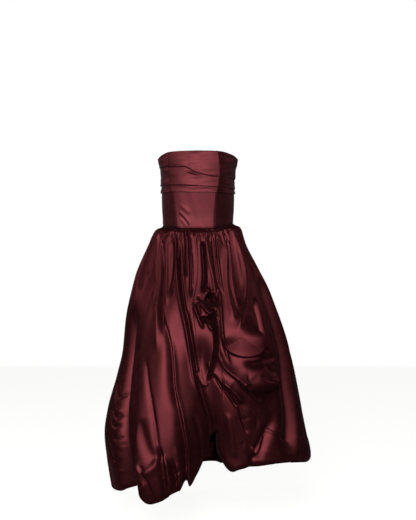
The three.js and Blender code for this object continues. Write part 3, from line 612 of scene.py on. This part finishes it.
# How folds are laid on the cloth, and the cloth's own slight unevenness
drape = {
    "hangSlope": 1.4, "stepLong": 7, "probe": 3,
    "reaches": 3, "margin": 8,  # a fold is worked out to this many reaches, and this much more
    "sharpFall": 1.5, "sharpRound": 0.03, "sharpTop": 0.173,
    "wander": rows("aside fall turns phase", (2.6, 71, 6, 1.3), (1.4, 39, -4, 0)),
    "longWave": 2.4, "shortWave": 1.0, "slantWave": 2.6,
    "calm": 0.55, "calmTo": 300, "lively": 800,  # the waves' share near the waist, and where it grows to one
    "settle": 14,
}


def taper(value, along):
    return lerp(*value, along) if isinstance(value, tuple) else value


# A line of angle and drop in millimetres round and down the cloth.
def unrolled(line):
    angle, drop = np.array(line, float).T
    return np.stack([np.radians(angle) * girth(drop), drop], -1)


# A fold whose line only goes down hangs: its distance from a point is read straight from the drop. The
# others, caught up or curled, are laid as paths of short steps.
def hangs(line):
    swing, fall = np.diff(unrolled(line), axis=0).T
    return bool((fall > 0).all() and (np.abs(swing / np.maximum(fall, 1)) < drape["hangSlope"]).all())


def layPath(line):
    points = unrolled(line)
    ends = np.vstack([2 * points[0] - points[1], points, 2 * points[-1] - points[-2]])
    path = []
    for k in range(len(points) - 1):
        a, b, c, d = ends[k:k + 4]
        count = max(2, int(np.linalg.norm(c - b) / drape["stepLong"]))
        for t in np.linspace(0, 1, count, endpoint=False):
            path.append(0.5 * (2 * b + (c - a) * t + (2 * a - 5 * b + 4 * c - d) * t * t
                               + (3 * b - a - 3 * c + d) * t ** 3))
    path.append(points[-1])
    return np.array(path)


# Signed distance from a hanging fold, how far along it each point is, and the fold's own direction aside.
def hangingDistance(line, x, y):
    table = rows("angle drop", *line)
    probe = drape["probe"]

    def across(drop):
        return np.radians(read(table, "drop", "angle", drop)) * girth(drop)

    slope = (across(y + probe) - across(y - probe)) / (2 * probe)
    length = np.sqrt(1 + slope * slope)
    offset = (x - across(y)) / length
    top, foot = line[0][1], line[-1][1]
    return offset, np.clip((y - top) / (foot - top), 0, 1), 1 / length, -slope / length


# The same for a fold that is laid as a path.
def pathDistance(path, x, y):
    tangent = np.gradient(path, axis=0)
    tangent /= np.linalg.norm(tangent, axis=1, keepdims=True)
    best = np.full(x.shape, np.inf)
    side, along, normalX, normalY = (np.zeros(x.shape) for _ in range(4))
    for k in range(len(path) - 1):
        gx, gy = path[k + 1] - path[k]
        ox, oy = x - path[k, 0], y - path[k, 1]
        t = np.clip((ox * gx + oy * gy) / (gx * gx + gy * gy), 0, 1)
        mx, my = ox - t * gx, oy - t * gy
        gap = mx * mx + my * my
        closer = gap < best
        best = np.where(closer, gap, best)
        side = np.where(closer, np.sign(mx * gy - my * gx), side)
        along = np.where(closer, (k + t) / (len(path) - 1), along)
        normalX = np.where(closer, lerp(tangent[k, 1], tangent[k + 1, 1], t), normalX)
        normalY = np.where(closer, -lerp(tangent[k, 0], tangent[k + 1, 0], t), normalY)
    return side * np.sqrt(best), along, normalX, normalY


allFolds = [fold(**row) for row in rightFrontFolds + leftFrontFolds] + backFolds() + makeCreases()
for each in allFolds:
    each["hangs"] = hangs(each["line"])
    each["path"] = layPath(each["line"])


# Slight unevenness of hanging satin: long shallow waves that run down the cloth and wander.
def ripple(turn, drop):
    wide = drape["calm"] + (1 - drape["calm"]) * smooth(drop, drape["calmTo"], drape["lively"])
    long = np.sin(11 * turn + 0.9 * np.sin(drop / 170) + 0.4) * np.sin(drop / 210 + 2 * turn)
    short = np.sin(27 * turn + 1.3 * np.sin(drop / 120 + 3 * turn)) * np.sin(drop / 95 + 8 * turn)
    slant = np.sin(5 * turn - drop / 230 + 1.1)
    return wide * (drape["longWave"] * long + drape["shortWave"] * short + drape["slantWave"] * slant)


# How the folds move each point: out from the plain section, and sideways round and down.
def foldShift(angle, drop):
    out, aside, down = (np.zeros(angle.shape) for _ in range(3))
    at = wrap(angle)
    for swell in swells:
        sideways, below = wrap(at - swell["angle"]) / swell["round"], (drop - swell["drop"]) / swell["down"]
        out += swell["out"] * np.exp(-(sideways ** 2 + below ** 2))
    wide, turned = girth(drop), np.radians(at)
    wander = sum(row["aside"] * np.sin(drop / row["fall"] + row["turns"] * turned + row["phase"])
                 for row in drape["wander"])
    for turn in (at, at + 360):
        across = np.radians(turn) * wide
        for each in allFolds:
            path = each["path"]
            reach = drape["reaches"] * max(np.max(each["left"]), np.max(each["right"])) + drape["margin"]
            low, high = path.min(0) - reach, path.max(0) + reach
            near = (across > low[0]) & (across < high[0]) & (drop > low[1]) & (drop < high[1])
            if not near.any():
                continue
            x, y = across[near] + wander[near], drop[near]
            if each["hangs"]:
                offset, along, normalX, normalY = hangingDistance(each["line"], x, y)
            else:
                offset, along, normalX, normalY = pathDistance(path, x, y)
            u = offset / np.where(offset < 0, taper(each["left"], along), taper(each["right"], along))
            rounded = np.exp(-u * u)
            sharp = np.exp(-drape["sharpFall"] * (np.sqrt(u * u + drape["sharpRound"]) - drape["sharpTop"]))
            fadeIn, fadeOut = each["fade"]
            strength = smooth(along, 0, fadeIn) * smooth(1 - along, 0, fadeOut)
            out[near] += taper(each["out"], along) * strength * lerp(rounded, sharp, each["crisp"])
            if each["lean"]:
                aside[near] += each["lean"] * strength * rounded * normalX
                down[near] += each["lean"] * strength * rounded * normalY
    out += ripple(turned, drop)
    settle = smooth(drop, 0, drape["settle"])
    return out * settle, aside * settle, down * settle


def hemStart(angle):
    return read(skirt["hem"], "angle", "drop", wrap(angle)) - skirt["hemRoll"]


# The skirt's outer face: run 0 is the waist, 1 where the hem rolls under, 2 past it, 3 the raw edge.
def skirtPoints(angle, run):
    start = hemStart(angle)
    roll = skirt["hemRoll"]
    drop = np.where(run <= 2, np.minimum(run, 1) * start, start - (run - 2) * skirt["turnUp"])
    out, aside, down = foldShift(angle, drop)
    turnAngle = angle + np.degrees(aside / girth(drop))
    radius = skirtOval(turnAngle, drop) + out
    height = waistHeight(angle) * np.clip(1 - drop / skirt["waistFade"], 0, 1) - drop - down
    turn = math.pi * np.clip(run - 1, 0, 1)
    radius = radius - roll * (1 - np.cos(turn))
    height = height - roll * np.sin(turn)
    return around(turnAngle, radius, height)


# Cloth from a grid of points, its uv the cut as it lies flat
def clothFromGrid(name, points, cut, wall, material, reverse=satinReverse):
    rowCount, columnCount = points.shape[:2]
    ids = np.arange(rowCount * columnCount).reshape(rowCount, columnCount)
    quads = np.stack([ids[:-1, :-1], ids[1:, :-1], ids[1:, 1:], ids[:-1, 1:]], -1).reshape(-1, 4)
    mesh = bpy.data.meshes.new(name)
    mesh.from_pydata((points * mm).reshape(-1, 3).tolist(), [], quads.tolist(), shade_flat=False)
    layer = mesh.uv_layers.new(name="cut")
    layer.data.foreach_set("uv", (cut.reshape(-1, 2)[quads.reshape(-1)] * mm).reshape(-1).astype(np.float32))
    mesh.materials.append(material)
    mesh.materials.append(reverse)
    piece = addObject(name, mesh)
    thick = piece.modifiers.new("wall", "SOLIDIFY")
    thick.thickness = wall * mm
    thick.offset = -1
    thick.material_offset = 1
    thick.material_offset_rim = 0
    return piece


# The cloth turned in behind a seam, which lies against its neighbour's
allowance = {"wide": 7, "turn": 0.8, "beside": 0.2}


# Turns the grid's two side edges inwards, as allowances.
def withAllowances(points, cut):
    down = np.gradient(points, axis=0)

    def strip(grid, edge, inner, inward, order):
        at = grid[:, edge]
        made = [at + allowance["wide"] * inward, at + allowance["turn"] * inward, at,
                lerp(at, grid[:, inner], allowance["beside"])]
        return np.stack(made[::order], 1)

    columns, marks = [points[:, 1:-1]], [cut[:, 1:-1]]
    for edge, inner, order in ((0, 1, 1), (-1, -2, -1)):
        inward = np.cross((points[:, inner] - points[:, edge]) * order, down[:, edge])
        inward /= np.linalg.norm(inward, axis=1, keepdims=True)
        place = 0 if order > 0 else len(columns)
        columns.insert(place, strip(points, edge, inner, inward, order))
        marks.insert(place, strip(cut, edge, inner, np.array([-order, 0.0]), order))
    return np.hstack(columns), np.hstack(marks)


# Hangs a piece of cloth on the body that it rides on, and hides the part that it stands in for.
def declareCloth(piece, node):
    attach(piece, "dress")
    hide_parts(node)


# Evens out the steps that a slanting crease leaves between neighbouring columns.
def eased(points):
    middle = (points[:, :-2] + 2 * points[:, 1:-1] + points[:, 2:]) / 4
    return np.hstack([points[:, :1], middle, points[:, -1:]])


# Skirt gores, from one side seam round to it again. A gore dips at its seams and turns in at the waist.
gores = {
    "rowsDown": 216, "rowsRoll": 14, "rowsInside": 10, "crowding": 1.06, "usualLong": 850, "seamPasses": 40,
    "pieces": rows("name columns", ("skirt_front_right", 190), ("skirt_front_left", 200),
                   ("skirt_back_left", 122), ("skirt_back_right", 122)),
    "seamGap": 0.06, "waistGap": 0.3, "waistTurn": (9, 1.2), "seamDip": 1.1, "seamReach": 3.5,
}


def makeGores():
    down = steps(gores["rowsDown"]) ** gores["crowding"]
    run = np.concatenate([down, 1 + steps(gores["rowsRoll"])[1:], 2 + steps(gores["rowsInside"])[1:]])
    level = 0 * run
    # the front seam's angle depends on its drop, which depends on the hem there, so it is closed in on
    frontSeam = level
    for _ in range(gores["seamPasses"]):
        drop = np.minimum(run, 1) * hemStart(frontSeam)
        frontSeam = lerp(frontSeam, read(skirt["frontSeam"], "drop", "angle", drop), 0.5)
    seams = [level - sideSeam, frontSeam, level + sideSeam, level + 180, level + 360 - sideSeam]
    for row, low, high in zip(gores["pieces"], seams[:-1], seams[1:]):
        share = steps(row["columns"])[None, :]
        halfGap = np.degrees(gores["seamGap"] / 2 / girth(gores["usualLong"] * np.minimum(run, 1)))
        angle = lerp((low + halfGap)[:, None], (high - halfGap)[:, None], share)
        runs = run[:, None] + 0 * angle
        points = skirtPoints(angle, runs)
        points[0, :, 2] -= gores["waistGap"]
        across = np.linalg.norm(np.diff(points, axis=1), axis=2).cumsum(1)
        across = np.hstack([np.zeros((len(run), 1)), across])
        fromSeam = np.minimum(across, across[:, -1:] - across)
        dip = gores["seamDip"] * np.exp(-(fromSeam / gores["seamReach"]) ** 2)
        inwards = -points / np.maximum(np.linalg.norm(points[:, :, :2], axis=2, keepdims=True), 1)
        inwards[:, :, 2] = 0
        points = eased(points + inwards * dip[:, :, None])
        turned = [points[0] + inwards[0] * reach - (0, 0, gores["waistGap"]) for reach in gores["waistTurn"]]
        points = np.concatenate([turned, points])
        downward = np.linalg.norm(np.diff(points, axis=0), axis=2).cumsum(0)
        downward = np.vstack([np.zeros((1, points.shape[1])), downward])
        cut = np.stack([across.mean(0)[None, :] + 0 * downward, downward], -1)
        piece = clothFromGrid(row["name"] + "_satin", *withAllowances(points, cut), skirt["wall"], skirtPaintedShadeFace)
        declareCloth(piece, row["name"])


makeGores()
print("skirt made")

# Bodice panels, from the back seam round to it again
panels = {
    "rowCount": 72, "seamDip": 1.0, "seamReach": 3.0, "halfGap": 0.03, "usualRadius": 120, "midHeight": 190.0,
    "footDip": 1.2, "footFrom": 0.97,
    "pieces": rows("name columns", ("bodice_back_right", 40), ("bodice_side_back_right", 50),
                   ("bodice_side_front_right", 50), ("bodice_centre_front", 90),
                   ("bodice_side_front_left", 50), ("bodice_side_back_left", 50), ("bodice_back_left", 40)),
    # drag lines of the centre front: out, reach, and a line of angle and height
    "drags": rows("out reach line",
                  (1.6, 5, [(-38, 66), (-27, 40), (-14, 12)]), (-1.2, 4, [(-36, 52), (-26, 30), (-20, 14)]),
                  (1.1, 4, [(-36, 38), (-29, 24), (-24, 8)]), (1.0, 6, [(-36, 86), (-24, 66), (-14, 50)])),
    "dragFade": 0.3, "frontRadius": 95, "unevenness": 0.5,
}


def dragRelief(angle, height):
    relief = panels["unevenness"] * np.sin(angle / 5.1 + height / 31) * np.sin(height / 47 + angle / 13)
    for row in panels["drags"]:
        path = np.array([(math.radians(a) * panels["frontRadius"], h) for a, h in row["line"]])
        away, along, _, _ = pathDistance(path, np.radians(angle) * panels["frontRadius"], height)
        fade = smooth(along, 0, panels["dragFade"]) * smooth(1 - along, 0, panels["dragFade"])
        relief += row["out"] * np.exp(-(away / row["reach"]) ** 2) * fade
    return relief


def makeBodice():
    halfGap = math.degrees(panels["halfGap"] / panels["usualRadius"])
    middle = bodiceSeams(np.array([panels["midHeight"]]))
    for k, row in enumerate(panels["pieces"]):
        share = steps(row["columns"])[None, :]
        down = steps(panels["rowCount"])[:, None]
        mean = lerp(middle[k][0], middle[k + 1][0], share)
        height = lerp(topHeight(mean), waistHeight(mean), down)
        seams = bodiceSeams(height)
        angle = lerp(seams[k] + halfGap, seams[k + 1] - halfGap, share)
        relief = dragRelief(angle, height) if row["name"] == "bodice_centre_front" else 0 * angle
        radius = bodiceRadius(angle, height) + relief
        across = np.radians(angle - angle[:, :1]) * radius
        fromSeam = np.minimum(across, across[:, -1:] - across)
        radius -= panels["seamDip"] * np.exp(-(fromSeam / panels["seamReach"]) ** 2)
        radius -= panels["footDip"] * smooth(down, panels["footFrom"], 1.0)
        points = around(angle, radius, height)
        cut = np.stack([across, height.max() - height], -1)
        piece = clothFromGrid(row["name"] + "_satin", *withAllowances(points, cut), bodice["wall"],
                              bodicePaintedLightFace)
        declareCloth(piece, row["name"])


makeBodice()
print("bodice made")

# The tucked band across the bust
band = {
    "gap": 0.5, "wall": 1.0, "rest": 1.3, "columns": 230, "rowCount": 114, "fromSide": 0.15, "radius": 118,
    "edges": rows(
        "angle upper middle lower",
        (-88, 216, 152, 127), (-48, 214, 150, 127), (-24, 213, 149, 127), (-14, 205, 148, 126),
        (-2, 192, 147, 126), (14, 184, 146, 126), (36, 178, 143, 125), (88, 176, 142, 125)),
    # how far each layer stands off the bodice just above a tuck's edge, by angle
    "thick": rows(
        "angle upper middle lower",
        (-88, 2.0, 4.6, 2.6), (-50, 2.2, 5.0, 2.6), (-20, 3.2, 4.6, 2.6), (-8, 5.6, 4.2, 2.6),
        (6, 4.2, 2.6, 2.4), (36, 2.6, 2.4, 2.2), (88, 2.4, 2.4, 2.2)),
    # rows crowd at each edge so that the cloth can turn back under it, and the next layer starts behind
    "above": 0.6, "crowding": 1.6, "overlap": 0.35, "swell": 1.8, "turnDeep": 0.43, "turnFrom": 0.955,
    "tuckDeep": 0.5, "waveShare": 0.6, "waveFrom": 127, "waveTo": 140,
    "waves": rows("out fall round", (0.5, 5.5, 19), (0.35, 3.1, -11), (0.5, 9, 6.5)),
    # the small pinch beside the upper tuck
    "pinchOut": 3.4, "pinchAngle": -8, "pinchHeight": 191, "pinchSlant": 0.55, "pinchRound": 9,
    "pinchTall": 3.6,
}


def makeBand():
    layers = ("upper", "middle", "lower")
    side = sideSeam - band["fromSide"]
    angle = np.linspace(-side, side, band["columns"])[None, :]
    top = topHeight(angle)
    third = band["rowCount"] // 3
    marks = [top + band["above"], *readAll(band["edges"], "angle", " ".join(layers), angle)]
    share = (1 - (1 - steps(third)) ** band["crowding"])[:, None]
    tops = [marks[0], marks[1] - band["overlap"], marks[2] - band["overlap"]]
    heights = np.vstack([lerp(high, low, share) for high, low in zip(tops, marks[1:])])
    offsets = []
    for k, name in enumerate(layers):
        thick = read(band["thick"], "angle", name, angle)
        layer = heights[k * third:(k + 1) * third]
        share = (layer - layer[0]) / (layer[-1] - layer[0] - 1e-6)
        offset = band["rest"] + thick * np.clip(share, 0, 1) ** band["swell"]
        offset -= band["turnDeep"] * thick * smooth(share, band["turnFrom"], 1.0)
        if k:
            offset[:2] -= band["tuckDeep"]
        offsets.append(offset)
    wave = sum(row["out"] * np.sin(heights / row["fall"] + angle / row["round"]) for row in band["waves"])
    aside = angle - band["pinchAngle"]
    apart = heights - (band["pinchHeight"] - aside * band["pinchSlant"])
    pinch = np.exp(-(aside / band["pinchRound"]) ** 2 - (apart / band["pinchTall"]) ** 2)
    offset = np.vstack(offsets) + band["pinchOut"] * pinch
    offset = offset + wave * smooth(heights, band["waveFrom"], band["waveTo"]) * band["waveShare"]
    radius = bodiceRadius(angle + 0 * heights, heights) + band["gap"] + offset
    points = around(angle + 0 * heights, radius, heights)
    across = np.radians(angle + sideSeam) * band["radius"]
    cut = np.stack([across + 0 * heights, top.max() - heights], -1)
    piece = clothFromGrid("bust_tuck_band_satin", points, cut, band["wall"], bandPaintedShadeFace)
    declareCloth(piece, "bust_tuck_band")


makeBand()
print("band made")

# The zip's tape, and what one node tree sets along lines: its coil, and the hand stitches
zipper = {
    "tapeWide": 20, "tapeThick": 0.9, "tapeTop": 222, "tapeFoot": 24, "tapeSet": 0.5, "behind": 2.4,
    "columns": 9, "rowCount": 70,
    "coilTop": 208, "coilAbove": 4, "coilApart": 1.5, "coilSize": (3.4, 0.9, 0.55), "coilIn": 1.2,
}
stitches = {
    "seed": 4, "apart": 4.5, "size": (0.35, 0.35, 1.5), "unevenness": (0.88, 1.08), "out": 0.05,
    "besideZip": 7, "fromEnds": 4, "belowTop": 5, "fromSide": 2, "places": 120,
}


# A tree that sets small rounded beads along a line, each turned to follow it. Size is across, out and along.
def makeBeadTree():
    tree = bpy.data.node_groups.new("beadsAlongLine", "GeometryNodeTree")
    given, result = addSockets(
        tree, {"Geometry": "Geometry", "Apart": "Float", "Size": "Vector", "Seed": "Int",
               "Finish": "Material"}, {"Geometry": "Geometry"})
    line = addNode(tree, "GeometryNodeMeshToCurve", {"Mesh": given.outputs["Geometry"]})
    spaced = addNode(tree, "GeometryNodeResampleCurve",
                     {"Curve": line, "Length": given.outputs["Apart"]}, mode="LENGTH")
    bead = addNode(tree, "GeometryNodeMeshUVSphere", {"Segments": 6, "Rings": 4, "Radius": 0.5})
    tangent = addNode(tree, "GeometryNodeInputTangent", {})
    turned = addNode(tree, "FunctionNodeAlignRotationToVector", {"Vector": tangent}, axis="Z")
    low, high = stitches["unevenness"]
    uneven = addNode(tree, "FunctionNodeRandomValue", {2: low, 3: high, "Seed": given.outputs["Seed"]},
                     data_type="FLOAT")
    sized = addNode(tree, "ShaderNodeVectorMath", {0: given.outputs["Size"], "Scale": uneven.outputs[1]},
                    operation="SCALE")
    placed = addNode(tree, "GeometryNodeInstanceOnPoints",
                     {"Points": spaced, "Instance": bead, "Rotation": turned, "Scale": sized})
    whole = addNode(tree, "GeometryNodeRealizeInstances", {"Geometry": placed})
    finished = addNode(tree, "GeometryNodeSetMaterial",
                       {"Geometry": whole, "Material": given.outputs["Finish"]})
    setInputs(result, {"Geometry": finished})
    return tree


beadTree = makeBeadTree()


def beadsAlong(name, lines, apart, size, material):
    corners, edges = [], []
    for line in lines:
        first = len(corners)
        corners += [tuple(point * mm) for point in line]
        edges += [(first + k, first + k + 1) for k in range(len(line) - 1)]
    guide = bpy.data.meshes.new(name + "Line")
    guide.from_pydata(corners, edges, [])
    holder = addObject(name + "Line", guide)
    modifier = holder.modifiers.new("beads", "NODES")
    modifier.node_group = beadTree
    sockets = {item.name: item.identifier for item in beadTree.interface.items_tree if item.in_out == "INPUT"}
    modifier[sockets["Apart"]] = apart * mm
    modifier[sockets["Size"]] = [value * mm for value in size]
    modifier[sockets["Seed"]] = stitches["seed"]
    modifier[sockets["Finish"]] = material
    ready = holder.evaluated_get(bpy.context.evaluated_depsgraph_get())
    mesh = bpy.data.meshes.new_from_object(ready)
    bpy.data.objects.remove(holder)
    mesh.shade_smooth()
    piece = addObject(name, mesh)
    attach(piece, "dress")
    print(name, len(mesh.polygons), "faces")


# A line down the inside or outside of the back, at a distance from the seam and out from the cloth's face.
def backLine(aside, out, top, foot, count=40):
    height = np.linspace(top, foot, count)
    dip = panels["seamDip"] * math.exp(-(aside / panels["seamReach"]) ** 2)
    radius = bodiceRadius(180 + 0 * height, height) - dip
    return around(180 - np.degrees(aside / radius), radius + out, height)


def makeZip():
    half, thick = zipper["tapeWide"] / 2, zipper["tapeThick"]
    top, foot = zipper["tapeTop"], zipper["tapeFoot"]
    across = np.linspace(-half, half, zipper["columns"])
    inside = -zipper["behind"] - zipper["tapeSet"]
    points = np.stack([backLine(aside, inside, top, foot, zipper["rowCount"]) for aside in across], 1)
    fall = top - points[:, :, 2]
    cut = np.stack([across[None, :] + half + 0 * fall, fall], -1)
    tape = clothFromGrid("zip_tape_woven", points, cut, thick, wovenTape, wovenTape)
    declareCloth(tape, "zip_tape")
    coilLine = backLine(0, -zipper["behind"] - thick - zipper["coilIn"], zipper["coilTop"],
                        foot + zipper["coilAbove"])
    beadsAlong("zip_coil", [coilLine], zipper["coilApart"], zipper["coilSize"], burgundyLacquer)
    for name in ("zip_slider", "zip_tab"):
        for slot in bpy.data.objects[name].material_slots:
            slot.material = burgundyLacquer


def makeStitches():
    ends = (zipper["tapeTop"] - stitches["fromEnds"], zipper["tapeFoot"] + stitches["fromEnds"])
    lines = [backLine(side * stitches["besideZip"], stitches["out"], *ends) for side in (-1, 1)]
    start = sideSeam + stitches["fromSide"]
    angle = np.linspace(start, 360 - start, stitches["places"])
    height = topHeight(angle) - stitches["belowTop"]
    lines.append(around(angle, bodiceRadius(angle, height) + stitches["out"], height))
    beadsAlong("hand_stitches", lines, stitches["apart"], stitches["size"], sewingThread)


makeZip()
makeStitches()
print("zip and stitches made")
